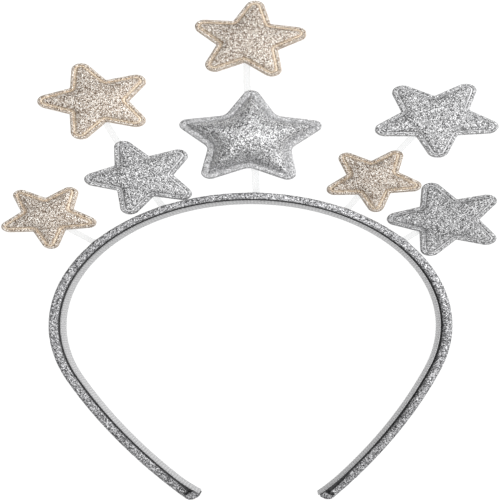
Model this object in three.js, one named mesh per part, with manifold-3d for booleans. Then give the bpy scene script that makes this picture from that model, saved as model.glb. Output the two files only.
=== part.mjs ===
// A headband with padded stars on clear strips, lying on its side.
// Millimetres. X runs across the hoop, Y from the tips towards the stars, Z up from the surface it lies on.
import * as THREE from 'three';
import { mergeVertices } from 'three/addons/utils/BufferGeometryUtils.js';
import Module from 'manifold-3d';

// Hoop and stars are all lower than they are wide, by one ratio. They are laid out in true circles and
// regular stars about the hoop's centre, and the whole group is then lowered along Y.
const HEIGHT_RATIO = 0.655;

// Hoop: a round top and two nearly straight arms that turn in towards their tips
const HOOP_WIDTH = 145;
const HOOP_RADIUS = HOOP_WIDTH / 2;
const BAND_DEPTH = 11.4;
const BAND_THICKNESS = 3.4;
const OUTER_EDGE_ROUND = 1.3;
const INNER_EDGE_CHAMFER = 0.4;
const TIP_ROUND = 2.4;
const TIP_DEPTH_SHARE = 0.4;
const TIP_STATION_SHARES = [0.5, 0.8, 0.95, 1];
const ROOF_STEP_DEG = 3;
const ARM_STEPS = 10;
const ROUND_STEPS = 3;

// One row per arm: below is the angle under the widest place where the round top ends, bend the further
// turn inwards along the arm, and flare how far the ribbon stands off at the tip
const ARMS = {
  left: { side: -1, below: 25.6, bend: 17.8, length: 78.8, flare: 1.1 },
  right: { side: 1, below: 20, bend: 19, length: 81.4, flare: 0.6 },
};
const FLARE_LENGTH = 14;

// Lining ribbon, inside the hoop
const RIBBON_THICKNESS = 1;
const RIBBON_MARGIN = 0.6;
const GAP = 0.35;

// Clear strips, flat at the middle of the band's depth. The wrap bulges over each root.
const STRIP_WIDTH = 2.6;
const STRIP_THICKNESS = 0.5;
const STRIP_LEVEL = BAND_DEPTH / 2;
const ROOT_DEPTH = 1.6;
const ROOT_BULGE = 0.7;
const ROOT_BULGE_LENGTH = 2.6;
const STRIP_STEPS = 10;

// One row per strip: root is the angle of its root from the top of the hoop, clockwise, and points are the
// places that it passes, the last one inside the star that it ends in
const STRIPS = [
  { name: 'strip_low_left', root: -51.2, points: [[-73.5, 59.2]] },
  { name: 'strip_left', root: -26, points: [[-50.8, 107.3], [-56.2, 123]] },
  { name: 'strip_centre', root: 2, points: [[1.9, 87.5], [-0.9, 132], [-0.9, 157.8]] },
  { name: 'strip_right', root: 29, points: [[57.8, 101.7], [67, 114.1]] },
  { name: 'strip_low_right', root: 50.3, points: [[69.4, 58.9]] },
];

// Makes of star. Notch and rounding radii are shares of the reach from the middle to a tip; rim is the flat
// border outside the pressed seam, and crown and back are the heights that the padding adds to both faces.
const FLAT_STAR = {
  notch: 0.55,
  tipRound: 0.166,
  notchRound: 0.03,
  rim: 1.7,
  rimThickness: 2.2,
  seamDepth: 0.3,
  crown: 2.4,
  back: 1.4,
};
const GOLD = { ...FLAT_STAR, colour: 0xc8b9a9 };
const SILVER = { ...FLAT_STAR, colour: 0xa5a6a8 };
const PUFFED = {
  notch: 0.585,
  tipRound: 0.118,
  notchRound: 0.16,
  rim: 2,
  rimThickness: 2.2,
  seamDepth: 0.2,
  crown: 6.6,
  back: 2.2,
  colour: 0xa5a6a8,
};
const SHARPEST_TIP = 0.1;
const WIDEST_NOTCH = 0.6;
const FIT_PASSES = 40;
const SEAM_HALF_WIDTH = 0.4;
const FRONT_RING_SHARES = [0.22, 0.5, 0.78];
const BACK_RING_SHARES = [0.12, 0.55];
const TIP_STEPS = 4;
const NOTCH_STEPS = 2;
const ARM_COUNT = 5;

const BAND_SILVER = 0xa5a6a8;
const RIBBON_GREY = 0xc2c2c4;
const CLEAR = 0xf2f4f5;

// One row per star: place of the middle, reach of a tip, turn from upright and own height ratio
const STARS = [
  { name: 'star_gold_top', make: GOLD, x: -0.4, y: 160.1, reach: 21.7, turn: -7.6, height: 1.05 },
  { name: 'star_gold_left', make: GOLD, x: -56.9, y: 126, reach: 21.9, turn: 18.1, height: 1.03 },
  { name: 'star_gold_low_left', make: GOLD, x: -74.3, y: 60.7, reach: 18.3, turn: -31.5, height: 1.01 },
  { name: 'star_gold_right', make: GOLD, x: 45.1, y: 80.7, reach: 18, turn: -32.5, height: 1.02 },
  { name: 'star_silver_left', make: SILVER, x: -39.8, y: 82.7, reach: 21.2, turn: 22.3, height: 1.02 },
  { name: 'star_silver_right', make: SILVER, x: 68.2, y: 115, reach: 23.4, turn: -34.2, height: 0.95 },
  { name: 'star_silver_low_right', make: SILVER, x: 71.5, y: 58, reach: 21.5, turn: 16.9, height: 0.985 },
  { name: 'star_silver_centre', make: PUFFED, x: 0.1, y: 103.9, reach: 27.4, turn: -1.4, height: 1 },
];

const wasm = await Module();
wasm.setup();

const radians = THREE.MathUtils.degToRad;

function direction(degrees) {
  return new THREE.Vector2(Math.cos(radians(degrees)), Math.sin(radians(degrees)));
}

// A closed body from rings of points, each ring with the same count, and a point that closes each end
function ringBody(rings, first, last) {
  const count = rings[0].length;
  const points = [...rings.flat(), first, last];
  const firstIndex = points.length - 2;
  const lastIndex = points.length - 1;
  const faces = [];
  for (let ring = 0; ring + 1 < rings.length; ring += 1) {
    for (let k = 0; k < count; k += 1) {
      const a = ring * count + k;
      const b = ring * count + ((k + 1) % count);
      faces.push(a, b, b + count, a, b + count, a + count);
    }
  }
  const lastRing = (rings.length - 1) * count;
  for (let k = 0; k < count; k += 1) {
    const next = (k + 1) % count;
    faces.push(firstIndex, next, k);
    faces.push(lastIndex, lastRing + k, lastRing + next);
  }
  const geometry = new THREE.BufferGeometry();
  const flat = points.flatMap((point) => [point.x, point.y, point.z]);
  geometry.setAttribute('position', new THREE.Float32BufferAttribute(flat, 3));
  geometry.setIndex(faces);
  return geometry;
}

function solidOf(geometry) {
  const merged = mergeVertices(geometry);
  const vertProperties = new Float32Array(merged.attributes.position.array);
  const triVerts = new Uint32Array(merged.index.array);
  return new wasm.Manifold(new wasm.Mesh({ numProp: 3, vertProperties, triVerts }));
}

function geometryOf(solid) {
  const mesh = solid.getMesh();
  const geometry = new THREE.BufferGeometry();
  geometry.setAttribute('position', new THREE.Float32BufferAttribute(mesh.vertProperties, 3));
  geometry.setIndex(new THREE.Uint32BufferAttribute(mesh.triVerts, 1));
  return geometry;
}

function cutAll(geometry, cutters) {
  let solid = solidOf(geometry);
  for (const cutter of cutters) {
    solid = solid.subtract(solidOf(cutter));
  }
  return geometryOf(solid);
}

// Stations along the hoop's outer line, from the left tip over the top to the right tip. Inward points to
// the inside of the hoop, roof is the angle from the top where the station is on the round part, tipInset
// says how far the rounded tip has drawn in there, and flare how far the ribbon stands off.
function armStations({ side, below, bend, length, flare }) {
  const stations = [];
  const point = direction(-below).multiplyScalar(HOOP_RADIUS);
  const stepLength = length / ARM_STEPS;
  const places = [];
  for (let k = 1; k <= ARM_STEPS; k += 1) {
    places.push({ along: k * stepLength - TIP_ROUND * (k / ARM_STEPS), tip: 0 });
  }
  for (const share of TIP_STATION_SHARES) {
    places.push({ along: length - TIP_ROUND * (1 - share), tip: share * TIP_ROUND });
  }
  let reached = 0;
  for (const { along, tip } of places) {
    const middle = below + (bend * (reached + along)) / (2 * length);
    point.addScaledVector(direction(-90 - middle), along - reached);
    reached = along;
    const heading = below + (bend * along) / length;
    const inward = direction(180 - heading);
    const flareShare = Math.max(0, 1 - (length - along) / FLARE_LENGTH);
    stations.push({
      x: side * point.x,
      y: point.y,
      inward: new THREE.Vector2(side * inward.x, inward.y),
      roof: null,
      tipInset: TIP_ROUND - Math.sqrt(TIP_ROUND ** 2 - tip ** 2),
      flare: flare * flareShare ** 2,
    });
  }
  return stations;
}

function hoopStations() {
  const roof = [];
  const start = -90 - ARMS.left.below;
  const end = 90 + ARMS.right.below;
  const steps = Math.round((end - start) / ROOF_STEP_DEG);
  for (let k = 0; k <= steps; k += 1) {
    const angle = start + ((end - start) * k) / steps;
    const out = direction(90 - angle);
    const point = out.clone().multiplyScalar(HOOP_RADIUS);
    roof.push({ x: point.x, y: point.y, inward: out.negate(), roof: angle, tipInset: 0, flare: 0 });
  }
  return [...armStations(ARMS.left).reverse(), ...roof, ...armStations(ARMS.right)];
}

function middleOf(points) {
  const sum = new THREE.Vector3();
  points.forEach((point) => sum.add(point));
  return sum.divideScalar(points.length);
}

// Sweep a section along stations. The section is a loop of [inset, level]: how far inside the station's
// line, and how high.
function sweep(stations, sectionAt) {
  const rings = stations.map((station) => sectionAt(station).map(([inset, level]) => new THREE.Vector3(
    station.x + station.inward.x * inset,
    station.y + station.inward.y * inset,
    level,
  )));
  return ringBody(rings, middleOf(rings[0]), middleOf(rings[rings.length - 1]));
}

// How far the wrap stands out over the strips' roots
function bulgeAt(station) {
  if (station.roof === null) {
    return 0;
  }
  const heights = STRIPS.map(({ root }) => {
    const distance = radians(station.roof - root) * HOOP_RADIUS;
    return ROOT_BULGE * Math.exp(-((distance / ROOT_BULGE_LENGTH) ** 2));
  });
  return Math.max(...heights);
}

function bandSection(station) {
  const outer = station.tipInset;
  const low = station.tipInset * TIP_DEPTH_SHARE;
  const high = BAND_DEPTH - low;
  const bulge = bulgeAt(station);
  const round = Math.min(OUTER_EDGE_ROUND, (BAND_THICKNESS - outer) / 2);
  const section = [];
  for (let k = 0; k <= ROUND_STEPS; k += 1) {
    const turn = direction(-90 - (90 * k) / ROUND_STEPS);
    section.push([outer + round + round * turn.x, low + round + round * turn.y]);
  }
  section.push([outer - bulge, BAND_DEPTH / 2]);
  for (let k = 0; k <= ROUND_STEPS; k += 1) {
    const turn = direction(180 - (90 * k) / ROUND_STEPS);
    section.push([outer + round + round * turn.x, high - round + round * turn.y]);
  }
  section.push([BAND_THICKNESS - INNER_EDGE_CHAMFER, high]);
  section.push([BAND_THICKNESS, high - INNER_EDGE_CHAMFER]);
  section.push([BAND_THICKNESS, low + INNER_EDGE_CHAMFER]);
  section.push([BAND_THICKNESS - INNER_EDGE_CHAMFER, low]);
  return section;
}

function ribbonSection(station) {
  const outside = BAND_THICKNESS + GAP + station.flare;
  const inside = outside + RIBBON_THICKNESS;
  return [
    [outside, RIBBON_MARGIN],
    [outside, BAND_DEPTH - RIBBON_MARGIN],
    [inside, BAND_DEPTH - RIBBON_MARGIN],
    [inside, RIBBON_MARGIN],
  ];
}

// A strip's body, grown on every side where it is the shape of the slot that the strip sits in
function stripBody({ root, points }, grow) {
  const out = direction(90 - root);
  const start = out.clone().multiplyScalar(HOOP_RADIUS - ROOT_DEPTH - grow);
  const places = [start, ...points.map(([x, y]) => new THREE.Vector2(x, y))];
  const last = places[places.length - 1];
  const before = places[places.length - 2];
  last.add(last.clone().sub(before).setLength(grow));
  const curve = new THREE.CatmullRomCurve3(places.map((place) => new THREE.Vector3(place.x, place.y, 0)));
  const stations = [];
  for (let k = 0; k <= STRIP_STEPS; k += 1) {
    const place = curve.getPoint(k / STRIP_STEPS);
    const along = curve.getTangent(k / STRIP_STEPS);
    stations.push({ x: place.x, y: place.y, inward: new THREE.Vector2(along.y, -along.x) });
  }
  const half = STRIP_WIDTH / 2 + grow;
  const low = STRIP_LEVEL - STRIP_THICKNESS / 2 - grow;
  const high = STRIP_LEVEL + STRIP_THICKNESS / 2 + grow;
  return sweep(stations, () => [[-half, low], [-half, high], [half, high], [half, low]]);
}

// Angles and apothem of the sharp star whose rounded tips reach as far as asked
function starForm({ reach, make }) {
  const notch = make.notch * reach;
  const tipRound = make.tipRound * reach;
  const across = notch * Math.sin(radians(180 / ARM_COUNT));
  const inner = notch * Math.cos(radians(180 / ARM_COUNT));
  let sharpReach = reach;
  let halfAngle = 0;
  for (let pass = 0; pass < FIT_PASSES; pass += 1) {
    halfAngle = Math.atan2(across, sharpReach - inner);
    sharpReach = reach + tipRound / Math.sin(halfAngle) - tipRound;
  }
  return {
    tipAngle: THREE.MathUtils.radToDeg(halfAngle),
    notchAngle: THREE.MathUtils.radToDeg(halfAngle) + 180 / ARM_COUNT,
    apothem: sharpReach * Math.sin(halfAngle),
    tipRound,
    notchRound: make.notchRound * reach,
  };
}

// The star's outline drawn in by inset, with rounded tips and notches, at one level
function starRing(form, turn, inset, level) {
  const apothem = form.apothem - inset;
  const tipRound = Math.max(form.tipRound - inset, SHARPEST_TIP * apothem);
  const notchRound = Math.min(form.notchRound + inset, WIDEST_NOTCH * apothem);
  const tipCentre = (apothem - tipRound) / Math.sin(radians(form.tipAngle));
  const notchCentre = (apothem + notchRound) / Math.sin(radians(form.notchAngle));
  const ring = [];
  const add = (centre, towards, radius, angle) => {
    const point = direction(towards).multiplyScalar(centre).addScaledVector(direction(angle), radius);
    ring.push(new THREE.Vector3(point.x, point.y, level));
  };
  for (let arm = 0; arm < ARM_COUNT; arm += 1) {
    const tip = 90 + turn + (360 / ARM_COUNT) * arm;
    const notch = tip + 180 / ARM_COUNT;
    for (let k = 0; k <= TIP_STEPS; k += 1) {
      add(tipCentre, tip, tipRound, tip + (90 - form.tipAngle) * ((2 * k) / TIP_STEPS - 1));
    }
    for (let k = 0; k <= NOTCH_STEPS; k += 1) {
      add(notchCentre, notch, -notchRound, notch + (90 - form.notchAngle) * (1 - (2 * k) / NOTCH_STEPS));
    }
  }
  return ring;
}

// A padded star about its own middle: flat rim, pressed seam, and padding that swells towards the middle
function starBody(star) {
  const { rim, rimThickness, seamDepth, crown, back } = star.make;
  const form = starForm(star);
  const edge = rimThickness / 2;
  const inside = form.apothem - rim;
  const swell = (share) => 1 - (1 - share) ** 2;
  const ring = (inset, level) => starRing(form, star.turn, inset, level);
  const rings = [];
  for (const share of [...BACK_RING_SHARES].reverse()) {
    rings.push(ring(rim + share * inside, -edge - back * swell(share)));
  }
  rings.push(ring(rim, -edge));
  rings.push(ring(0, -edge));
  rings.push(ring(0, edge));
  rings.push(ring(rim - SEAM_HALF_WIDTH, edge));
  rings.push(ring(rim, edge - seamDepth));
  rings.push(ring(rim + SEAM_HALF_WIDTH, edge + crown * swell(SEAM_HALF_WIDTH / inside)));
  for (const share of FRONT_RING_SHARES) {
    rings.push(ring(rim + share * inside, edge + crown * swell(share)));
  }
  return ringBody(rings, new THREE.Vector3(0, 0, -edge - back), new THREE.Vector3(0, 0, edge + crown));
}

function meshOf(name, geometry, colour, finish) {
  const mesh = new THREE.Mesh(geometry, new THREE.MeshStandardMaterial({ color: colour, ...finish }));
  mesh.name = name;
  return mesh;
}

function bandMesh(stations) {
  const pockets = STRIPS.map((strip) => stripBody(strip, GAP));
  const geometry = cutAll(sweep(stations, bandSection), pockets);
  return meshOf('band', geometry, BAND_SILVER, { roughness: 0.4, metalness: 0.5 });
}

function ribbonMesh(stations) {
  const geometry = sweep(stations, ribbonSection);
  return meshOf('lining_ribbon', geometry, RIBBON_GREY, { roughness: 0.7, metalness: 0 });
}

function stripMesh(strip) {
  const finish = { roughness: 0.1, metalness: 0, transparent: true, opacity: 0.3 };
  return meshOf(strip.name, stripBody(strip, 0), CLEAR, finish);
}

// The star's slots are cut in its own frame, where the strips are moved back by the star's place
function starMesh(star) {
  const slots = STRIPS.map((strip) => {
    const slot = stripBody(strip, GAP);
    slot.translate(-star.x, -star.y, -STRIP_LEVEL);
    return slot.scale(1, 1 / star.height, 1);
  });
  const geometry = cutAll(starBody(star), slots);
  const mesh = meshOf(star.name, geometry, star.make.colour, { roughness: 0.45, metalness: 0.4 });
  mesh.position.set(star.x, star.y, STRIP_LEVEL);
  mesh.scale.y = star.height;
  return mesh;
}

// The origin is at the middle of the whole object's box, on the surface that it lies on
function settle(group) {
  const box = new THREE.Box3().setFromObject(group, true);
  const middle = box.getCenter(new THREE.Vector3());
  group.position.set(-middle.x, -middle.y, -box.min.z);
  group.updateMatrixWorld(true);
}

const headband = new THREE.Group();
headband.scale.y = HEIGHT_RATIO;
const stations = hoopStations();
headband.add(bandMesh(stations), ribbonMesh(stations));
headband.add(...STRIPS.map(stripMesh));
headband.add(...STARS.map(starMesh));
settle(headband);

export default headband;
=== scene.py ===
"""Looks of a star headband lying on its side: glitter wrap, ribbed ribbon, clear strips and padded stars."""

import math

import bmesh
import bpy
import numpy as np
from mathutils import Matrix, Vector
from mathutils.geometry import delaunay_2d_cdt


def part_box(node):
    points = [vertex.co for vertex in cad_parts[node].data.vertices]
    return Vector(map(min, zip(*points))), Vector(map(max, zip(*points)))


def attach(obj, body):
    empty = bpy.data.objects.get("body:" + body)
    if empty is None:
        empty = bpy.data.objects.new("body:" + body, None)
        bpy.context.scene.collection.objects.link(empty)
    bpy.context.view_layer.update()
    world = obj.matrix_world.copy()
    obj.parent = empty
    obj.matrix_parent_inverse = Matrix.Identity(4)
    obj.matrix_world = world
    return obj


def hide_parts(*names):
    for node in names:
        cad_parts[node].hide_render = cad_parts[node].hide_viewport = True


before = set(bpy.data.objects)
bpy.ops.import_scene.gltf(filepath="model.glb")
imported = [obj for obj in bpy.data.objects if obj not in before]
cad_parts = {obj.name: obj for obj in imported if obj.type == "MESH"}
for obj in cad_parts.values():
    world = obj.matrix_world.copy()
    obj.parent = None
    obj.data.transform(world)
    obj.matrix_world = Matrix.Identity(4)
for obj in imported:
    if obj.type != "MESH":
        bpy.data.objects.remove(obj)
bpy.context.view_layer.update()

# Sizes are millimetres where nothing else is said, and become metres where Blender takes them
MM = 0.001
SEED = 11

# Hoop and stars are laid out in true circles and regular stars about the hoop's centre, and then lowered
# along Y by one ratio. An arm starts some degrees below the centre's level and bends inwards by some more
HEIGHT_RATIO = 0.655
HOOP_RADIUS = 72.5
BAND_DEPTH = 11.4
ARMS = {
    "left": {"side": -1, "below": 25.6, "bend": 17.8, "length": 78.8},
    "right": {"side": 1, "below": 20.0, "bend": 19.0, "length": 81.4},
}

# Steps of the hoop's line along an arm and round the top, and the angle noted for places on an arm
LINE_STEP = 0.05
LINE_TURN_DEGREES = 0.05
BEYOND_THE_TOP = 999.0

# At each tip the ribbon flares off the wrap, the wrap's edge draws back along a reach, and its end is folded
# over as a flap, with a fold beside it on the inner part of the wrap's width
FLARES = {"left": 1.1, "right": 0.6}
FLARE_LENGTH = 14.0
DRAW_BACKS = {"left": 0.4, "right": 0.7}
DRAW_BACK_REACHES = {"left": 11.0, "right": 20.0}
DRAW_BACK_FADE = 0.4
FLAP_LENGTHS = {"left": 4.0, "right": 3.4}
FLAP_FADE = (-0.5, 0.3)
FLAP_GAP = 0.25
FLAP_CORNER = 0.9
FOLD_DEPTH = 0.9
FOLD_WIDTH = 0.55
FOLD_FROM_FLAP = 0.35
# Shares of the wrap's width over which the fold is pressed in and darkened with painted shade
FOLD_SHARES = (0.2, 0.5)
RIBBON_TRIMS = {"left": 1.0, "right": 0.3}
TIP_ROUND = 2.4
TIP_CLEARANCE = 0.1
TIP_DEPTH_SHARE = 0.4

# Along the right arm the wrap's inner edge is rolled down, over these shares of its width, and between these
# distances from the tip
ROLL_SHARES = (0.58, 1.0)
ROLL_DEPTH = 0.35
# How dark the painted shade on the rolled edge is at most
ROLL_SHADE = 0.5
ROLL_RISE = (25.0, 50.0)
ROLL_FALL = (110.0, 185.0)

# The strips' roots, as degrees from the top, and the wrap's bulge over each
ROOTS = (-51.2, -26.0, 2.0, 29.0, 50.3)
ROOT_BULGE = 0.7
ROOT_BULGE_LENGTH = 2.6

# Wrap, dark core and ribbon: insets from the hoop's outer line, roundings, margins and steps
WRAP_THICKNESS = 3.55
OUTER_EDGE_ROUND = 1.3
INNER_EDGE_ROUND = 0.45
CORNER_POINTS = 9
CORE_SINK = 1.1
CORE_INSET = 4.2
BAND_TIP_STEPS = 9
RIBBON_OUTSIDE = 4.25
RIBBON_INSIDE = 4.75
RIBBON_MARGIN = 0.6
RIBBON_EDGE_ROUND = 0.12
RIBBON_START = 1.0
RIBBON_STEP = 0.6
RIBBON_TIP_STEPS = 12
RIB_PITCH = 1.36
RIB_HEIGHT = 0.06
RIB_STEPS = 8
CAD_RIBBON_OUTSIDE = 3.75

# How close the points are that are joined in the wrap's mesh, and how short the edges are that vanish
JOIN_REACH = 0.002
VANISH_REACH = 0.001

# Painted light and shade on wrap and ribbon along the hoop, for how the light falls on each part: share of
# the way from the left tip, and factor on the colour
WRAP_PAINTED_LIGHT = (
    (0.0, 0.72), (0.2, 0.96), (0.36, 0.9), (0.58, 1.15), (0.78, 0.98), (0.9, 0.74), (1.0, 0.72),
)
RIBBON_PAINTED_LIGHT = (
    (0.0, 1.0), (0.13, 1.06), (0.36, 0.86), (0.5, 1.0), (0.63, 1.22), (0.8, 1.22), (1.0, 0.8),
)

# Relief of the glitter: the step between points, how far each is shifted at random, and the chance of
# either diagonal in the wrap's quads
FLAKE_STEP = 0.36
FLAKE_RISE = 0.05
EVEN_CHANCE = 0.5

# Makes of star: shares of the reach for the notch and the rounding, then millimetres, then how round the
# padding is, how much of it stands as ridges along the arms, how full each arm is from the top one on, and
# how full the whole star is
FLAT_STAR = {
    "notch": 0.55,
    "tip_round": 0.166,
    "notch_round": 0.03,
    "rim": 1.7,
    "edge": 1.1,
    "crown": 1.6,
    "back": 1.2,
    "puff": 0.6,
    "ridge": 0.0,
    "arms": (1, 1, 1, 1, 1),
    "fill": 0.6,
}
PUFFED_STAR = {
    "notch": 0.585,
    "tip_round": 0.118,
    "notch_round": 0.16,
    "rim": 2.7,
    "edge": 1.1,
    "crown": 6.6,
    "back": 2.2,
    "puff": 0.9,
    "ridge": 0.47,
    "arms": (1.1, 1.05, 1.05, 0.7, 0.9),
    "fill": 0.9,
}
STAR_ARMS = 5
ARM_ANGLE = math.pi / STAR_ARMS
STAR_LEVEL = BAND_DEPTH / 2

# One row per star: node, make, finish, tone (a factor on its colour, painted light and shade for how the star
# lies to the light), middle in the layout, reach of a tip, turn and own height ratio
STARS = (
    ("star_gold_top", FLAT_STAR, "gold", 1.02, -0.4, 160.1, 21.7, -7.6, 1.05),
    ("star_gold_left", FLAT_STAR, "gold", 1.09, -56.9, 126.0, 21.9, 18.1, 1.03),
    ("star_gold_low_left", FLAT_STAR, "gold", 1.01, -74.3, 60.7, 18.3, -31.5, 1.01),
    ("star_gold_right", FLAT_STAR, "gold", 0.9, 45.1, 80.7, 18.0, -32.5, 1.02),
    ("star_silver_left", FLAT_STAR, "silver", 1.06, -39.8, 82.7, 21.2, 22.3, 1.02),
    ("star_silver_right", FLAT_STAR, "silver", 1.02, 68.2, 115.0, 23.4, -34.2, 0.95),
    ("star_silver_low_right", FLAT_STAR, "silver", 0.86, 71.5, 58.0, 21.5, 16.9, 0.985),
    ("star_silver_centre", PUFFED_STAR, "puffed", 1.38, 0.1, 103.9, 27.4, -1.4, 1.0),
)

# A star's outline and padding: passes that settle its sharp reach, points of a round tip and notch, the grid
# that the padding is solved on, the ridges' reach from the seam, and the shares where an arm starts and ends
REACH_PASSES = 40
TIP_POINTS = 33
NOTCH_POINTS = 17
SWELL_CELL = 0.3
SWELL_MARGIN = 3
SWELL_PASSES = 2200
RIDGE_REACH = 2.5
ARM_START = 0.2
ARM_END = 0.6

# A star's edge, rim and seam
EDGE_DROP = 0.3
EDGE_DROP_WIDTH = 0.5
RIM_HUMP = 0.06
SEAM_HALF_WIDTHS = (0.18, 0.55)
FRONT_SEAM_DEPTH = 0.18
BACK_SEAM_DEPTH = 0.12
EDGE_RINGS = (0.0, 0.16, 0.4)
SIDE_LEVELS = (0.68, 0.3, 0.0, -0.3, -0.68)
SIDE_SINKS = (0.0, 0.06, 0.3, 0.06, 0.0)
SIDE_JITTER = 0.03
ROUGH_FADE = (0.1, 0.5)

# A star's net: rows of points as shares of a step, jitter, distance from the last ring, and settings for
# triangles over the whole hull
ROW_SHARE = 0.87
NET_JITTER = 0.3
NET_CLEARANCE = 0.22
WHOLE_HULL = 0
WELD_REACH = 1e-7

# Clear strips: their nodes, softened edges and faint plastic
STRIPS = ("strip_low_left", "strip_left", "strip_centre", "strip_right", "strip_low_right")
STRIP_EDGE = 0.14
STRIP_EDGE_STEPS = 2
STRIP_EDGE_SLOT = 1
STRIP_WELD = 0.001
STRIP_ALPHA = 0.21
# The edges are more opaque, as painted reflection of the plastic at a slant
STRIP_EDGE_ALPHA = 0.3
STRIP_COLOUR = (0.7, 0.71, 0.71, 1.0)
STRIP_ROUGHNESS = (0.04, 0.16)
STRIP_WAVE_SCALE = 220.0

# Tones, bands and the painted crease shade are given as colours seen on a screen, and made linear by the
# screen's curve
SCREEN_LEVELS = 255
SCREEN_OFFSET = 0.055
SCREEN_POWER = 2.4

# Tones of flakes, ribs and core: place in the pattern's range, and colour
SILVER_TONES = (
    (0.0, (54, 54, 55)),
    (0.25, (120, 120, 121)),
    (0.6, (180, 180, 181)),
    (0.88, (228, 228, 229)),
    (1.0, (255, 255, 255)),
)
PUFFED_TONES = (
    (0.0, (44, 44, 45)),
    (0.25, (116, 116, 117)),
    (0.6, (182, 182, 183)),
    (0.88, (220, 220, 221)),
    (1.0, (238, 238, 239)),
)
BAND_TONES = (
    (0.0, (50, 50, 52)),
    (0.3, (120, 120, 122)),
    (0.65, (180, 180, 182)),
    (0.9, (228, 228, 230)),
    (1.0, (254, 254, 255)),
)
GOLD_TONES = (
    (0.0, (88, 68, 52)),
    (0.25, (154, 136, 119)),
    (0.6, (204, 192, 180)),
    (0.88, (236, 230, 221)),
    (1.0, (255, 252, 247)),
)
# The ribs are lighter on their crests and darker between them, as painted shade
RIB_PAINTED_SHADES = ((0.0, (165, 165, 166)), (1.0, (192, 192, 193)))
# The core's dark tones are partly its own colour and partly painted shade of the crevice
CORE_TONES = ((0.3, (44, 44, 45)), (0.7, (68, 68, 69)))
CORE_GRAIN_SCALE = 900.0
# Colour of the painted shade in the wrap's fold and along its rolled edge
CREASE_PAINTED_SHADE = (38, 38, 40)

# Bands beside a star's outline: distance from it, colour, and how far the colour covers the glitter. Each
# flake takes its own share of the cover
# In the silver and gold bands, the darker bands either side of the seam's light line are partly the seam's
# own colour and partly painted shade of its groove
SILVER_BANDS = (
    (0.0, (190, 190, 191), 0.35),
    (0.4, (235, 235, 236), 0.2),
    (1.1, (180, 180, 181), 0.0),
    (1.35, (112, 112, 113), 0.65),
    (1.62, (246, 246, 247), 0.95),
    (1.9, (246, 246, 247), 0.95),
    (2.15, (112, 112, 113), 0.6),
    (2.6, (150, 150, 151), 0.0),
)
GOLD_BANDS = (
    (0.0, (216, 196, 174), 0.4),
    (0.4, (246, 234, 218), 0.2),
    (1.1, (216, 196, 172), 0.1),
    (1.35, (188, 150, 112), 0.7),
    (1.62, (254, 240, 217), 0.85),
    (1.95, (254, 240, 217), 0.85),
    (2.2, (190, 155, 118), 0.6),
    (2.8, (206, 184, 160), 0.0),
)
PUFFED_BANDS = (
    (0.0, (170, 170, 171), 0.7),
    (0.5, (166, 166, 167), 0.7),
    (1.2, (154, 154, 155), 0.75),
    (1.8, (156, 156, 157), 0.75),
    (2.2, (168, 168, 169), 0.75),
    (2.7, (166, 166, 167), 0.6),
    (3.4, (158, 158, 159), 0.25),
    (4.0, (156, 156, 157), 0.0),
)
BANDS_REACH = 4.0
COVER_SHARES = (0.4, 1.25)

# Glitters, with the size of a flake. Stars have bands, and the wrap has painted shade in its creases
FINISHES = {
    "gold": {
        "flake": 0.28,
        "tones": GOLD_TONES,
        "bands": GOLD_BANDS,
        "metallic": 0.5,
        "slot": "gold_glitter",
    },
    "silver": {
        "flake": 0.28,
        "tones": SILVER_TONES,
        "bands": SILVER_BANDS,
        "metallic": 0.5,
        "slot": "silver_glitter",
    },
    "puffed": {
        "flake": 0.29,
        "tones": PUFFED_TONES,
        "bands": PUFFED_BANDS,
        "metallic": 0.6,
        "slot": "silver_glitter",
    },
    "band": {
        "flake": 0.29,
        "tones": BAND_TONES,
        "bands": None,
        "metallic": 0.5,
        "slot": "silver_glitter",
    },
}
FLAKE_TILT = 0.18
FLAKE_ROUGHNESS = (0.35, 0.7)

# Camera in millimetres, and stage in metres and watts
EYE = (14.15, -32.68, 400.0)
AIM = (0.55, -1.88, 8.0)
VIEW_WIDTH = 181.4
LIGHTS = {
    "key": {"place": (1.56, 0.25, 1.4), "size": 3.2, "power": 40.0},
    "top": {"place": (0.1, -0.2, 2.0), "size": 2.6, "power": 24.5},
}
FLOOR_SIZE = 6.0
FLOOR_COLOUR = (0.12, 0.12, 0.12, 1.0)
FLOOR_GLOW = 0.97
WHITE = (1.0, 1.0, 1.0, 1.0)
FILL_LIGHT = 0.18
BACKDROP = 1.0

rng = np.random.default_rng(SEED)

# The hoop's centre, from the boxes of the solids
HOOP_X = (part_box("band")[0].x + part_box("band")[1].x) / 2 / MM
HOOP_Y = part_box("lining_ribbon")[1].y / MM - HEIGHT_RATIO * (HOOP_RADIUS - CAD_RIBBON_OUTSIDE)


def placed(points):
    """Layout points, as rows of x, y and level, in the object's frame."""
    return points * [1, HEIGHT_RATIO, 1] + [HOOP_X, HOOP_Y, 0]


def smooth_step(low, high, x):
    share = np.clip((x - low) / (high - low), 0, 1)
    return share * share * (3 - 2 * share)


def lengths_along(points):
    """The way along a line to each of its points."""
    return np.concatenate(([0], np.cumsum(np.linalg.norm(np.diff(points, axis=0), axis=1))))


def values_at(places, along, values):
    """Rows of values given along a line, at other places along it."""
    return np.stack([np.interp(places, along, column) for column in values.T], axis=1)


def make_piece(name, points, faces, materials, node):
    """A mesh piece from points in millimetres that stands for a node."""
    mesh = bpy.data.meshes.new(name)
    mesh.from_pydata((points * MM).tolist(), [], [list(face) for face in faces])
    for material in materials:
        mesh.materials.append(material)
    piece = bpy.data.objects.new(name, mesh)
    bpy.context.scene.collection.objects.link(piece)
    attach(piece, "root")
    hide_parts(node)
    return piece


def set_attribute(piece, name, values):
    attribute = piece.data.attributes.new(name, "FLOAT", "POINT")
    attribute.data.foreach_set("value", np.asarray(values, np.float32))


# Materials

def linear(colour):
    """A screen colour as the shader's linear values."""
    shares = [value / SCREEN_LEVELS for value in colour]
    return tuple(((share + SCREEN_OFFSET) / (1 + SCREEN_OFFSET)) ** SCREEN_POWER for share in shares)


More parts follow.
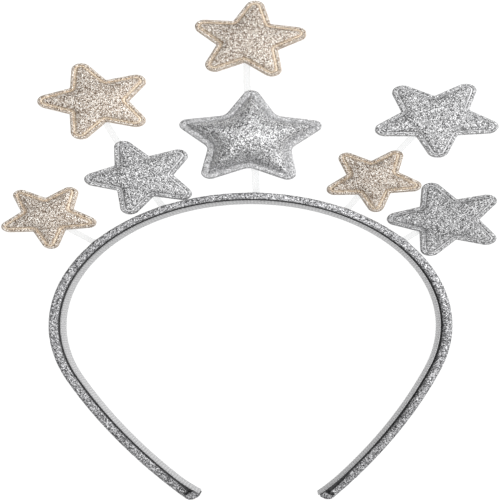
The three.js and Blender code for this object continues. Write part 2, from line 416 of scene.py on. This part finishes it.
class Nodes:
    """A material's node tree with a Principled shader, and short ways to add to it."""

    # Sockets of a Mix node that mixes colours
    MIX_FIRST = 6
    MIX_SECOND = 7
    MIX_RESULT = 2

    def __init__(self, name):
        self.material = bpy.data.materials.new(name)
        self.material.use_nodes = True
        self.tree = self.material.node_tree
        self.shader = self.tree.nodes["Principled BSDF"]

    def add(self, kind, **settings):
        node = self.tree.nodes.new(kind)
        for key, value in settings.items():
            setattr(node, key, value)
        return node

    def link(self, source, target):
        self.tree.links.new(source, target)

    def feed(self, source, name):
        """Links a source to the shader's own input of that name."""
        self.link(source, self.shader.inputs[name])

    def set(self, **values):
        """Sets the shader's inputs, whose names have underscores here for spaces."""
        for key, value in values.items():
            self.shader.inputs[key.replace("_", " ")].default_value = value

    def attribute(self, name):
        return self.add("ShaderNodeAttribute", attribute_name=name).outputs["Fac"]

    def texture(self, kind, scale):
        """A texture in the object's own coordinates."""
        coordinates = self.add("ShaderNodeTexCoord")
        texture = self.add(kind)
        texture.inputs["Scale"].default_value = scale
        self.link(coordinates.outputs["Object"], texture.inputs["Vector"])
        return texture

    def ranged(self, source, **limits):
        """A source mapped from one range to another, 0 to 1 where a limit isn't given."""
        node = self.add("ShaderNodeMapRange")
        for key, value in limits.items():
            node.inputs[key.replace("_", " ")].default_value = value
        self.link(source, node.inputs["Value"])
        return node.outputs["Result"]

    def ramp(self, source, stops):
        """A colour ramp of rows of position, screen colour and cover."""
        node = self.add("ShaderNodeValToRGB")
        elements = node.color_ramp.elements
        while len(elements) < len(stops):
            elements.new(1.0)
        for element, (position, colour, cover) in zip(elements, stops):
            element.position = position
            element.color = (*linear(colour), cover)
        self.link(source, node.inputs["Fac"])
        return node

    def tones(self, source, tones):
        """The colour of a ramp that covers fully, of rows of position and screen colour."""
        return self.ramp(source, [(*tone, 1.0) for tone in tones]).outputs["Color"]

    def mix(self, factor, first):
        """A mix of a colour with a second one, which the caller sets or links."""
        node = self.add("ShaderNodeMix", data_type="RGBA")
        self.link(factor, node.inputs["Factor"])
        self.link(first, node.inputs[self.MIX_FIRST])
        return node.inputs[self.MIX_SECOND], node.outputs[self.MIX_RESULT]

    def with_painted_light(self, colour):
        """The colour times the mesh's tone, a factor of painted light and shade."""
        scaled = self.add("ShaderNodeVectorMath", operation="SCALE")
        self.link(colour, scaled.inputs[0])
        self.link(self.attribute("tone"), scaled.inputs["Scale"])
        return scaled.outputs["Vector"]


def banded(nodes, colour, flake_share, bands):
    """The colour under bands beside the outline, each flake with its own share of their cover."""
    inset = nodes.ranged(nodes.attribute("inset"), From_Max=BANDS_REACH)
    ramp = nodes.ramp(inset, [(place / BANDS_REACH, shade, cover) for place, shade, cover in bands])
    least, most = COVER_SHARES
    share = nodes.ranged(flake_share, To_Min=least, To_Max=most)
    cover = nodes.add("ShaderNodeMath", operation="MULTIPLY", use_clamp=True)
    nodes.link(ramp.outputs["Alpha"], cover.inputs[0])
    nodes.link(share, cover.inputs[1])
    second, mixed = nodes.mix(cover.outputs[0], colour)
    nodes.link(ramp.outputs["Color"], second)
    return mixed


def with_painted_crease_shade(nodes, colour):
    """The colour, darkened with painted shade in the mesh's creases."""
    second, mixed = nodes.mix(nodes.attribute("crease"), colour)
    second.default_value = (*linear(CREASE_PAINTED_SHADE), 1.0)
    return mixed


def flake_normal(nodes, flake_colour):
    """The surface's normal, tilted at random for each flake."""
    tilt = nodes.add("ShaderNodeVectorMath", operation="MULTIPLY_ADD")
    nodes.link(flake_colour, tilt.inputs[0])
    tilt.inputs[1].default_value = [2 * FLAKE_TILT] * 3
    tilt.inputs[2].default_value = [-FLAKE_TILT] * 3
    surface = nodes.add("ShaderNodeNewGeometry")
    tilted = nodes.add("ShaderNodeVectorMath", operation="ADD")
    nodes.link(surface.outputs["Normal"], tilted.inputs[0])
    nodes.link(tilt.outputs["Vector"], tilted.inputs[1])
    unit = nodes.add("ShaderNodeVectorMath", operation="NORMALIZE")
    nodes.link(tilted.outputs["Vector"], unit.inputs[0])
    return unit.outputs["Vector"]


def glitter(name, finish):
    """Glitter: cells of one flake each, with their own tone, tilt and gloss."""
    nodes = Nodes(name)
    cells = nodes.texture("ShaderNodeTexVoronoi", 1 / (finish["flake"] * MM))
    parts = nodes.add("ShaderNodeSeparateColor")
    nodes.link(cells.outputs["Color"], parts.inputs["Color"])
    colour = nodes.tones(parts.outputs["Red"], finish["tones"])
    if finish["bands"]:
        colour = nodes.with_painted_light(banded(nodes, colour, parts.outputs["Blue"], finish["bands"]))
    else:
        colour = with_painted_crease_shade(nodes, nodes.with_painted_light(colour))
    smooth, rough = FLAKE_ROUGHNESS
    nodes.feed(colour, "Base Color")
    nodes.feed(nodes.ranged(parts.outputs["Green"], To_Min=smooth, To_Max=rough), "Roughness")
    nodes.feed(flake_normal(nodes, cells.outputs["Color"]), "Normal")
    nodes.set(Metallic=finish["metallic"])
    return nodes.material


def ribbon_material():
    """Grosgrain ribbon: fine ribs across it, with painted shade between them, and a soft sheen."""
    nodes = Nodes("grey_ribbon")
    turns = nodes.add("ShaderNodeMath", operation="MULTIPLY")
    turns.inputs[1].default_value = 2 * math.pi / RIB_PITCH
    nodes.link(nodes.attribute("along"), turns.inputs[0])
    wave = nodes.add("ShaderNodeMath", operation="SINE")
    nodes.link(turns.outputs[0], wave.inputs[0])
    ribs = nodes.tones(nodes.ranged(wave.outputs[0], From_Min=-1.0), RIB_PAINTED_SHADES)
    nodes.feed(nodes.with_painted_light(ribs), "Base Color")
    nodes.set(Roughness=0.55, Sheen_Weight=0.2)
    return nodes.material


def core_material():
    """The dark core in the crevice between the wrap and the ribbon, its colour partly its own and partly
    painted shade of the crevice.
    """
    nodes = Nodes("dark_core")
    noise = nodes.texture("ShaderNodeTexNoise", CORE_GRAIN_SCALE)
    nodes.feed(nodes.tones(noise.outputs["Fac"], CORE_TONES), "Base Color")
    nodes.set(Roughness=0.85)
    return nodes.material


def clear_material(name, alpha):
    """Clear strip plastic with a faint waviness."""
    nodes = Nodes(name)
    noise = nodes.texture("ShaderNodeTexNoise", STRIP_WAVE_SCALE)
    smooth, rough = STRIP_ROUGHNESS
    nodes.feed(nodes.ranged(noise.outputs["Fac"], To_Min=smooth, To_Max=rough), "Roughness")
    nodes.set(Base_Color=STRIP_COLOUR, IOR=1.46, Alpha=alpha)
    return nodes.material


# Stars

class StarForm:
    """A regular star about its middle, its first tip along +X, with rounded tips and notches."""

    def __init__(self, make, reach):
        self.tip_round = make["tip_round"] * reach
        self.notch_round = make["notch_round"] * reach
        across = make["notch"] * reach * math.sin(ARM_ANGLE)
        inner = make["notch"] * reach * math.cos(ARM_ANGLE)
        sharp_reach = reach
        for _ in range(REACH_PASSES):
            self.half = math.atan2(across, sharp_reach - inner)
            sharp_reach = reach + self.tip_round / math.sin(self.half) - self.tip_round
        self.apothem = sharp_reach * math.sin(self.half)
        self.tip_centre = (self.apothem - self.tip_round) / math.sin(self.half)
        self.notch_centre = (self.apothem + self.notch_round) / math.sin(self.half + ARM_ANGLE)

    def inset(self, points):
        """Distance of points inside the outline."""
        angle = np.arctan2(points[:, 1], points[:, 0])
        folded = np.abs((angle + ARM_ANGLE) % (2 * ARM_ANGLE) - ARM_ANGLE)
        radius = np.hypot(points[:, 0], points[:, 1])
        x, y = radius * np.cos(folded), radius * np.sin(folded)
        across = x * math.sin(self.half) + y * math.cos(self.half)
        along = x * math.cos(self.half) - y * math.sin(self.half)
        notch_x = self.notch_centre * math.cos(ARM_ANGLE)
        notch_y = self.notch_centre * math.sin(ARM_ANGLE)
        tip_start = self.tip_centre * math.cos(self.half)
        notch_start = notch_x * math.cos(self.half) - notch_y * math.sin(self.half)
        side = self.apothem - across
        tip = self.tip_round - np.hypot(x - self.tip_centre, y)
        notch = np.hypot(x - notch_x, y - notch_y) - self.notch_round
        return np.where(along > tip_start, tip, np.where(along < notch_start, notch, side))

    def outline(self):
        """Closely spaced points of the outline and the directions out of it."""
        tip_swing = math.pi / 2 - self.half
        notch_swing = tip_swing - ARM_ANGLE
        points, outs = [], []
        for arm in range(STAR_ARMS):
            tip = 2 * ARM_ANGLE * arm
            notch = tip + ARM_ANGLE
            tip_turns = tip + np.linspace(-tip_swing, tip_swing, TIP_POINTS)
            notch_turns = notch + np.linspace(notch_swing, -notch_swing, NOTCH_POINTS)
            for middle, distance, bend, turns in (
                (tip, self.tip_centre, self.tip_round, tip_turns),
                (notch, self.notch_centre, -self.notch_round, notch_turns),
            ):
                centre = distance * np.array((math.cos(middle), math.sin(middle)))
                out = np.column_stack((np.cos(turns), np.sin(turns)))
                points.append(centre + bend * out)
                outs.append(out)
        return np.vstack(points), np.vstack(outs)


def swell_of(form, make, reach):
    """Membrane under even pressure inside the seam, solved on a grid: a function of points, 1 at its top."""
    half_count = int(reach / SWELL_CELL) + SWELL_MARGIN
    axis = np.arange(-half_count, half_count + 1) * SWELL_CELL
    grid = np.stack(np.meshgrid(axis, axis, indexing="ij"), axis=-1)
    inside = form.inset(grid.reshape(-1, 2)).reshape(grid.shape[:2]) > make["rim"]
    height = np.zeros(inside.shape)
    for _ in range(SWELL_PASSES):
        around = height[2:, 1:-1] + height[:-2, 1:-1] + height[1:-1, 2:] + height[1:-1, :-2]
        height[1:-1, 1:-1] = np.where(inside[1:-1, 1:-1], (around + SWELL_CELL * SWELL_CELL) / 4, 0)
    height /= height.max()

    def at(points):
        place = points / SWELL_CELL + half_count
        low = np.clip(np.floor(place).astype(int), 0, len(axis) - 2)
        x, y = (place - low).T
        i, j = low.T
        near = height[i, j] * (1 - x) + height[i + 1, j] * x
        far = height[i, j + 1] * (1 - x) + height[i + 1, j + 1] * x
        return near * (1 - y) + far * y

    return at


def resampled(points, outs, stretch, step):
    """A closed line's points about step apart once stretch is applied, with their directions."""
    loop = np.vstack((points, points[:1]))
    turns = np.vstack((outs, outs[:1]))
    along = lengths_along(loop * stretch)
    count = round(along[-1] / step)
    places = np.arange(count) * along[-1] / count
    facing = values_at(places, along, turns)
    return values_at(places, along, loop), facing / np.linalg.norm(facing, axis=1)[:, None]


def inside_line(points, line):
    """Whether points lie inside a closed line, by the count of its edges on their right."""
    x, y = points[:, :1], points[:, 1:]
    ends = np.roll(line, -1, axis=0)
    crossed = (line[:, 1] > y) != (ends[:, 1] > y)
    rise = np.where(crossed, ends[:, 1] - line[:, 1], 1)
    edge_x = line[:, 0] + (y - line[:, 1]) / rise * (ends[:, 0] - line[:, 0])
    return (crossed & (x < edge_x)).sum(axis=1) % 2 == 1


def star_net(form, line, outs, rotation, stretch, reach):
    """A net of triangles inside the outline: its points, its faces, and the points along the outline."""
    rings = [line - outs * depth for depth in EDGE_RINGS]
    rows = np.arange(-reach, reach, FLAKE_STEP * ROW_SHARE / stretch[1])
    columns = np.arange(-reach, reach, FLAKE_STEP)
    grid = np.array([
        (column + (k % 2) * FLAKE_STEP / 2, row)
        for k, row in enumerate(rows)
        for column in columns
    ])
    grid += rng.uniform(-NET_JITTER, NET_JITTER, grid.shape) * FLAKE_STEP / stretch
    grid = grid[form.inset(grid @ rotation.T) > EDGE_RINGS[-1] + NET_CLEARANCE]
    flat = np.vstack((*rings, grid)) * stretch
    count = len(line)
    loop = [(k, (k + 1) % count) for k in range(count)]
    found = delaunay_2d_cdt([Vector(point) for point in flat], loop, [], WHOLE_HULL, WELD_REACH, True)
    places, faces, sources = np.array(found[0]) / stretch, np.array(found[2]), found[3]
    faces = faces[inside_line(places[faces].mean(axis=1), line)]
    ring_of = {source[0]: k for k, source in enumerate(sources) if source and source[0] < count}
    return places, faces, np.array([ring_of[k] for k in range(count)])


def arm_shares(make, own, reach):
    """Share of the padding at points: all of it in the middle, and each arm's own share towards its tip."""
    angle = np.arctan2(own[:, 1], own[:, 0])
    arm = np.round(angle / (2 * ARM_ANGLE)).astype(int)
    on_ridge = np.cos((angle - arm * 2 * ARM_ANGLE) / ARM_ANGLE * math.pi / 2)
    outward = smooth_step(ARM_START, ARM_END, np.hypot(own[:, 0], own[:, 1]) / reach)
    return 1 - (1 - np.array(make["arms"])[arm % STAR_ARMS]) * on_ridge * outward


def star_heights(make, inset, swell, crown, seam_depth):
    """Height of a face over its middle level: rounded edge, flat rim, pressed seam, and padding inside it."""
    edge_drop = EDGE_DROP * (1 - smooth_step(0, EDGE_DROP_WIDTH, inset))
    rim_hump = RIM_HUMP * np.sin(np.pi * np.clip(inset / make["rim"], 0, 1))
    seam = seam_depth * (1 - smooth_step(*SEAM_HALF_WIDTHS, np.abs(inset - make["rim"])))
    roof = 1 - np.exp(-np.maximum(inset - make["rim"], 0) / RIDGE_REACH)
    padding = make["ridge"] * roof / roof.max() + (1 - make["ridge"]) * swell ** make["puff"]
    return make["edge"] - edge_drop + rim_hump - seam + crown * padding


def star_faces(form, make, own, inset, reach):
    """Heights of the front and the back, with their relief, at points of the star's own frame."""
    swell = np.clip(swell_of(form, make, reach)(own), 0, None)
    crown = make["crown"] * arm_shares(make, own, reach)
    rough = FLAKE_RISE * smooth_step(*ROUGH_FADE, inset)
    front = star_heights(make, inset, swell, crown, FRONT_SEAM_DEPTH)
    front += rng.uniform(-1, 1, len(own)) * rough
    back = -star_heights(make, inset, swell, make["back"], BACK_SEAM_DEPTH)
    back += rng.uniform(-1, 1, len(own)) * rough
    return front, back


def wall_faces(rings):
    """Triangles of a wall between closed rings of points, from the upper ring to the lower one."""
    walls = []
    for upper, lower in zip(rings, rings[1:]):
        after_upper, after_lower = np.roll(upper, -1), np.roll(lower, -1)
        walls.append(np.column_stack((upper, lower, after_lower)))
        walls.append(np.column_stack((upper, after_lower, after_upper)))
    return np.vstack(walls)


def make_star(node, make, finish, tone, x, y, reach, turn, height):
    """A padded star: front and back of one net, and a wall with a pinched edge between them."""
    form = StarForm(make, reach)
    stretch = np.array((1, HEIGHT_RATIO * height))
    spin = math.radians(90 + turn)
    rotation = np.array(((math.cos(spin), math.sin(spin)), (-math.sin(spin), math.cos(spin))))
    line, outs = form.outline()
    line, outs = resampled(line @ rotation, outs @ rotation, stretch, FLAKE_STEP)
    places, faces, border = star_net(form, line, outs, rotation, stretch, reach)
    own = places @ rotation.T
    inset = np.maximum(form.inset(own), 0)
    front, back = star_faces(form, make, own, inset, reach)
    edge = front[border].mean()
    count, total = len(line), len(places)
    sides = []
    rings = [border]
    for level, sink in zip(SIDE_LEVELS, SIDE_SINKS):
        wall = line - outs * sink + rng.uniform(-SIDE_JITTER, SIDE_JITTER, line.shape)
        rings.append(2 * total + len(sides) * count + np.arange(count))
        sides.append(np.column_stack((wall, np.full(count, level * edge))))
    rings.append(border + total)
    points = np.vstack((np.column_stack((places, front)), np.column_stack((places, back)), *sides))
    points = points * (1, height, 1) + (x, y, STAR_LEVEL)
    triangles = np.vstack((faces, faces[:, ::-1] + total, wall_faces(rings)))
    star = make_piece("padded_" + node, placed(points), triangles, [GLITTERS[finish]], node)
    set_attribute(star, "inset", np.concatenate((inset, inset, np.zeros(len(sides) * count))))
    # Painted light and shade for how this star lies to the light, as a factor on its colour
    set_attribute(star, "tone", np.full(len(points), tone))


# Hoop

def arm_line(side, below, bend, length):
    """Closely spaced points of an arm's outer line from the round top to the tip, and inward directions."""
    along = np.linspace(0, length, int(length / LINE_STEP) + 1)
    heading = np.radians(below + bend * along / length)
    steps = np.column_stack((-np.sin(heading), -np.cos(heading)))
    middle = (steps[1:] + steps[:-1]) / 2 * np.diff(along)[:, None]
    start = HOOP_RADIUS * np.array((math.cos(math.radians(below)), -math.sin(math.radians(below))))
    points = start + np.vstack(((0, 0), np.cumsum(middle, axis=0)))
    inward = np.column_stack((-np.cos(heading), np.sin(heading)))
    return points * (side, 1), inward * (side, 1)


def hoop_line():
    """Closely spaced points of the outer line from tip to tip, inward directions and angles from the top."""
    left, left_in = arm_line(**ARMS["left"])
    right, right_in = arm_line(**ARMS["right"])
    left_end, right_end = -90 - ARMS["left"]["below"], 90 + ARMS["right"]["below"]
    angles = np.radians(np.arange(left_end, right_end, LINE_TURN_DEGREES))
    outs = np.column_stack((np.sin(angles), np.cos(angles)))
    points = np.vstack((left[:0:-1], outs * HOOP_RADIUS, right))
    inward = np.vstack((left_in[:0:-1], -outs, right_in))
    from_top = np.full(len(points), BEYOND_THE_TOP)
    from_top[len(left) - 1:-len(right)] = np.degrees(angles)
    return points, inward, from_top


def station_places(points, step, tip_steps):
    """Places along the laid out line about step apart as seen, closer in the tips."""
    seen = lengths_along(points * (1, HEIGHT_RATIO))
    laid = lengths_along(points)
    total = laid[-1]
    count = round(seen[-1] / step)
    places = np.interp(np.arange(count + 1) * seen[-1] / count, seen, laid)
    tip_end = TIP_ROUND + TIP_CLEARANCE
    places = places[(places > tip_end) & (places < total - tip_end)]
    tip_places = TIP_ROUND * (1 - np.sin(np.linspace(0, math.pi / 2, tip_steps + 1)))[::-1]
    return np.concatenate((tip_places, places, total - tip_places[::-1])), laid


def stations(step, tip_steps):
    """Places along the hoop, and how flare, edge, fold, roll, trim and bulge stand at each."""
    points, inward, from_top = hoop_line()
    places, laid = station_places(points, step, tip_steps)
    on_left = places < laid[-1] / 2
    from_tip = np.where(on_left, places, laid[-1] - places)
    angle = np.interp(places, laid, from_top)
    away = np.array([np.radians(np.abs(angle - root)) * HOOP_RADIUS for root in ROOTS])

    def of_arm(values):
        return np.where(on_left, values["left"], values["right"])

    flare = of_arm(FLARES) * np.clip(1 - from_tip / FLARE_LENGTH, 0, 1) ** 2
    reach = of_arm(DRAW_BACK_REACHES)
    draw_back = of_arm(DRAW_BACKS) * (1 - smooth_step(reach * DRAW_BACK_FADE, reach, from_tip))
    roll = smooth_step(*ROLL_RISE, from_tip) * (1 - smooth_step(*ROLL_FALL, from_tip))
    from_flap = from_tip - of_arm(FLAP_LENGTHS)
    flap = 1 - smooth_step(*FLAP_FADE, from_flap)
    return {
        "line": values_at(places, laid, points),
        "facing": values_at(places, laid, inward),
        "bulge": ROOT_BULGE * np.exp(-((away / ROOT_BULGE_LENGTH) ** 2)).max(axis=0),
        "along": places,
        "from_tip": from_tip,
        "flare": flare,
        "inner_edge": (WRAP_THICKNESS - draw_back) * (1 - flap) + (RIBBON_OUTSIDE + flare - FLAP_GAP) * flap,
        "fold": np.exp(-(((from_flap - FOLD_FROM_FLAP) / FOLD_WIDTH) ** 2)),
        "trim": of_arm(RIBBON_TRIMS),
        "roll": np.where(on_left, 0, roll),
    }


def rounded_path(corners, step):
    """Points about step apart along an open path of corners, each a place and its rounding radius."""
    dense = []
    for k, (corner, radius) in enumerate(corners):
        corner = np.array(corner, float)
        if radius == 0:
            dense.append(corner)
            continue
        before = np.array(corners[k - 1][0], float) - corner
        after = np.array(corners[k + 1][0], float) - corner
        before /= np.linalg.norm(before)
        after /= np.linalg.norm(after)
        for share in np.linspace(0, 1, CORNER_POINTS):
            start = corner + before * radius * (1 - share)
            end = corner + after * radius * share
            dense.append(start * (1 - share) + end * share)
    dense = np.array(dense)
    along = lengths_along(dense)
    places = np.linspace(0, along[-1], round(along[-1] / step) + 1)
    return values_at(places, along, dense)


def swept(hoop, sections):
    """Points of sections swept along the hoop's stations. A section's rows are inset and level."""
    inset, level = sections[..., 0], sections[..., 1]
    x = hoop["line"][:, :1] + hoop["facing"][:, :1] * inset
    y = hoop["line"][:, 1:] + hoop["facing"][:, 1:] * inset
    return np.stack((x, y, level), axis=-1).reshape(-1, 3)


def sweep_faces(count, around, flips):
    """Triangles of a swept closed section, with each quad's diagonal chosen by flips, and both end faces."""
    station, k = np.meshgrid(np.arange(count - 1), np.arange(around), indexing="ij")
    a = station * around + k
    b = station * around + (k + 1) % around
    c, d = b + around, a + around
    a, b, c, d, flips = (values.ravel() for values in (a, b, c, d, flips))
    first = np.where(flips[:, None], np.column_stack((a, b, c)), np.column_stack((a, b, d)))
    second = np.where(flips[:, None], np.column_stack((a, c, d)), np.column_stack((b, c, d)))
    last = (count - 1) * around
    ends = [list(range(around))[::-1], list(range(last, last + around))]
    return np.vstack((first, second)).tolist() + ends


def clean_mesh(piece, joined):
    """Turns faces outwards, and where joined, first joins points that meet and drops faces that vanish."""
    work = bmesh.new()
    work.from_mesh(piece.data)
    if joined:
        bmesh.ops.remove_doubles(work, verts=work.verts, dist=JOIN_REACH * MM)
        bmesh.ops.dissolve_degenerate(work, edges=work.edges, dist=VANISH_REACH * MM)
    bmesh.ops.recalc_face_normals(work, faces=work.faces)
    work.to_mesh(piece.data)
    work.free()


def painted_light_along(hoop, table):
    """The factor of painted light and shade on the colour at each station of the hoop, from a table along it.
    """
    shares, factors = zip(*table)
    return np.interp(hoop["along"] / hoop["along"][-1], shares, factors)


def wrap_path():
    """The wrap's section, from the crevice at the back round the outside to the crevice at the front."""
    return rounded_path((
        ((WRAP_THICKNESS, CORE_SINK), 0),
        ((WRAP_THICKNESS, 0), INNER_EDGE_ROUND),
        ((0, 0), OUTER_EDGE_ROUND),
        ((0, BAND_DEPTH), OUTER_EDGE_ROUND),
        ((WRAP_THICKNESS, BAND_DEPTH), INNER_EDGE_ROUND),
        ((WRAP_THICKNESS, BAND_DEPTH - CORE_SINK), 0),
    ), FLAKE_STEP)


def band_sections(hoop, section, on_wrap):
    """The section at each station with tips, bulges, fold and rolled edge, and how dark the painted shade in
    its creases is.
    """
    share = np.minimum(section[:, 0] / WRAP_THICKNESS, 1)
    tip = np.clip(TIP_ROUND - hoop["from_tip"], 0, TIP_ROUND)
    outer = TIP_ROUND - np.sqrt(TIP_ROUND ** 2 - tip ** 2)
    turned = np.clip(tip - TIP_ROUND + FLAP_CORNER, 0, FLAP_CORNER)
    inner = hoop["inner_edge"] - FLAP_CORNER + np.sqrt(FLAP_CORNER ** 2 - turned ** 2)
    core = np.maximum(CORE_INSET + hoop["flare"], hoop["inner_edge"])
    core = np.where(tip > 0, inner, core)
    inset = np.where(on_wrap, outer[:, None] + share * (inner - outer)[:, None], core[:, None])
    stand_out = np.sin(np.pi * section[:, 1] / BAND_DEPTH) * (section[:, 0] < WRAP_THICKNESS / 2)
    inset = inset - hoop["bulge"][:, None] * stand_out
    crease = hoop["fold"][:, None] * smooth_step(*FOLD_SHARES, share) * on_wrap
    roll = hoop["roll"][:, None] * smooth_step(*ROLL_SHARES, share) * on_wrap
    low = outer * TIP_DEPTH_SHARE
    level = low[:, None] + section[:, 1] / BAND_DEPTH * (BAND_DEPTH - 2 * low)[:, None]
    level += np.where(section[:, 1] > BAND_DEPTH / 2, -1, 1) * (crease * FOLD_DEPTH + roll * ROLL_DEPTH)
    return np.stack((inset, level), axis=-1), np.maximum(crease, roll * ROLL_SHADE)


def make_band():
    """The glitter wrap round the hoop, with the dark core that the ribbon lies on."""
    hoop = stations(FLAKE_STEP, BAND_TIP_STEPS)
    wrap = wrap_path()
    core = [(CORE_INSET, BAND_DEPTH - CORE_SINK), (CORE_INSET, BAND_DEPTH / 2), (CORE_INSET, CORE_SINK)]
    section = np.vstack((wrap, core))
    count, around = len(hoop["line"]), len(section)
    sections, crease = band_sections(hoop, section, np.arange(around) < len(wrap))
    rough = np.zeros((count, around))
    rough[1:-1, 1:len(wrap) - 1] = FLAKE_RISE
    points = placed(swept(hoop, sections))
    points += rng.uniform(-1, 1, points.shape) * rough.reshape(-1, 1)
    points[:, 2] = np.maximum(points[:, 2], 0)
    faces = sweep_faces(count, around, rng.random((count - 1, around)) < EVEN_CHANCE)
    materials = [GLITTERS["band"], core_material()]
    band = make_piece("glitter_band", points, faces, materials, "band")
    column = np.tile(np.arange(around), count - 1)
    is_core = np.concatenate((np.tile(column >= len(wrap) - 1, 2), [False, False]))
    band.data.polygons.foreach_set("material_index", is_core.astype(np.int32))
    # Painted shade in the fold and along the rolled edge
    set_attribute(band, "crease", crease.ravel())
    # Painted light and shade along the hoop, as a factor on the wrap's colour
    set_attribute(band, "tone", np.repeat(painted_light_along(hoop, WRAP_PAINTED_LIGHT), around))
    clean_mesh(band, joined=True)


def make_ribbon():
    """The lining: a thin ribbon with ribs across it, along the inside of the hoop."""
    hoop = stations(RIB_PITCH / RIB_STEPS, RIBBON_TIP_STEPS)
    kept = hoop["from_tip"] > hoop["trim"]
    hoop = {key: values[kept] for key, values in hoop.items()}
    low, high = RIBBON_MARGIN, BAND_DEPTH - RIBBON_MARGIN
    loop = rounded_path((
        ((RIBBON_OUTSIDE, low + RIBBON_START), 0),
        ((RIBBON_OUTSIDE, low), RIBBON_EDGE_ROUND),
        ((RIBBON_INSIDE, low), RIBBON_EDGE_ROUND),
        ((RIBBON_INSIDE, high), RIBBON_EDGE_ROUND),
        ((RIBBON_OUTSIDE, high), RIBBON_EDGE_ROUND),
        ((RIBBON_OUTSIDE, low + RIBBON_START), 0),
    ), RIBBON_STEP)[:-1]
    count, around = len(hoop["line"]), len(loop)
    ribs = RIB_HEIGHT * (np.sin(2 * np.pi * hoop["along"] / RIB_PITCH) - 1)
    is_inner = loop[:, 0] > (RIBBON_OUTSIDE + RIBBON_INSIDE) / 2
    sections = np.tile(loop, (count, 1, 1))
    sections[..., 0] += ribs[:, None] * is_inner + hoop["flare"][:, None]
    points = placed(swept(hoop, sections))
    faces = sweep_faces(count, around, np.zeros((count - 1, around), bool))
    ribbon = make_piece("ribbed_ribbon", points, faces, [ribbon_material()], "lining_ribbon")
    set_attribute(ribbon, "along", np.repeat(hoop["along"], around))
    # Painted light and shade along the hoop, as a factor on the ribbon's colour
    set_attribute(ribbon, "tone", np.repeat(painted_light_along(hoop, RIBBON_PAINTED_LIGHT), around))
    clean_mesh(ribbon, joined=False)
    ribbon.data.shade_smooth()


# Strips

def dress_strips():
    """The strips keep their solids, with clear plastic and softened edges that show a little more, as painted
    reflection of the plastic at its edges.
    """
    plastic = clear_material("clear_plastic", STRIP_ALPHA)
    edge_plastic = clear_material("clear_plastic_edge", STRIP_EDGE_ALPHA)
    for name in STRIPS:
        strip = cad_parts[name]
        strip.data.materials.clear()
        strip.data.materials.append(plastic)
        strip.data.materials.append(edge_plastic)
        weld = strip.modifiers.new("weld", "WELD")
        weld.merge_threshold = STRIP_WELD * MM
        bevel = strip.modifiers.new("soft_edges", "BEVEL")
        bevel.width = STRIP_EDGE * MM
        bevel.segments = STRIP_EDGE_STEPS
        bevel.material = STRIP_EDGE_SLOT


# Stage

def make_camera():
    """A camera over the object, with Y upwards in its picture."""
    eye, aim = Vector(EYE) * MM, Vector(AIM) * MM
    forward = (aim - eye).normalized()
    right = forward.cross(Vector((0, 1, 0))).normalized()
    up = right.cross(forward)
    data = bpy.data.cameras.new("camera")
    data.angle = 2 * math.atan(VIEW_WIDTH * MM / 2 / (aim - eye).length)
    camera = bpy.data.objects.new("camera", data)
    camera.matrix_world = Matrix((
        (right.x, up.x, -forward.x, eye.x),
        (right.y, up.y, -forward.y, eye.y),
        (right.z, up.z, -forward.z, eye.z),
        (0, 0, 0, 1),
    ))
    bpy.context.scene.collection.objects.link(camera)
    bpy.context.scene.camera = camera


def make_light(name, place, size, power):
    """A round soft light that faces the object."""
    data = bpy.data.lights.new(name, "AREA")
    data.shape = "DISK"
    data.size = size
    data.energy = power
    light = bpy.data.objects.new(name, data)
    light.location = place
    light.rotation_mode = "QUATERNION"
    light.rotation_quaternion = Vector(place).to_track_quat("Z", "Y")
    bpy.context.scene.collection.objects.link(light)


def make_floor():
    """A floor that glows nearly white, so that shadows on it stay faint."""
    mesh = bpy.data.meshes.new("floor")
    half = FLOOR_SIZE / 2
    corners = [(-half, -half, 0), (half, -half, 0), (half, half, 0), (-half, half, 0)]
    mesh.from_pydata(corners, [], [(0, 1, 2, 3)])
    floor = bpy.data.objects.new("floor", mesh)
    bpy.context.scene.collection.objects.link(floor)
    paper = Nodes("pale_floor")
    paper.set(Base_Color=FLOOR_COLOUR, Roughness=0.9, Emission_Color=WHITE, Emission_Strength=FLOOR_GLOW)
    mesh.materials.append(paper.material)


def make_world():
    """A white backdrop that gives less light than it shows."""
    world = bpy.data.worlds.new("studio")
    world.use_nodes = True
    nodes, links = world.node_tree.nodes, world.node_tree.links
    background = nodes["Background"]
    background.inputs["Color"].default_value = WHITE
    path = nodes.new("ShaderNodeLightPath")
    level = nodes.new("ShaderNodeMapRange")
    level.inputs["To Min"].default_value = FILL_LIGHT
    level.inputs["To Max"].default_value = BACKDROP
    links.new(path.outputs["Is Camera Ray"], level.inputs["Value"])
    links.new(level.outputs["Result"], background.inputs["Strength"])
    bpy.context.scene.world = world


bpy.context.scene.view_settings.view_transform = "Standard"
GLITTERS = {name: glitter(name + "_glitter", finish) for name, finish in FINISHES.items()}
make_camera()
make_floor()
make_world()
for name, light in LIGHTS.items():
    make_light(name, **light)
make_band()
make_ribbon()
dress_strips()
for row in STARS:
    make_star(*row)
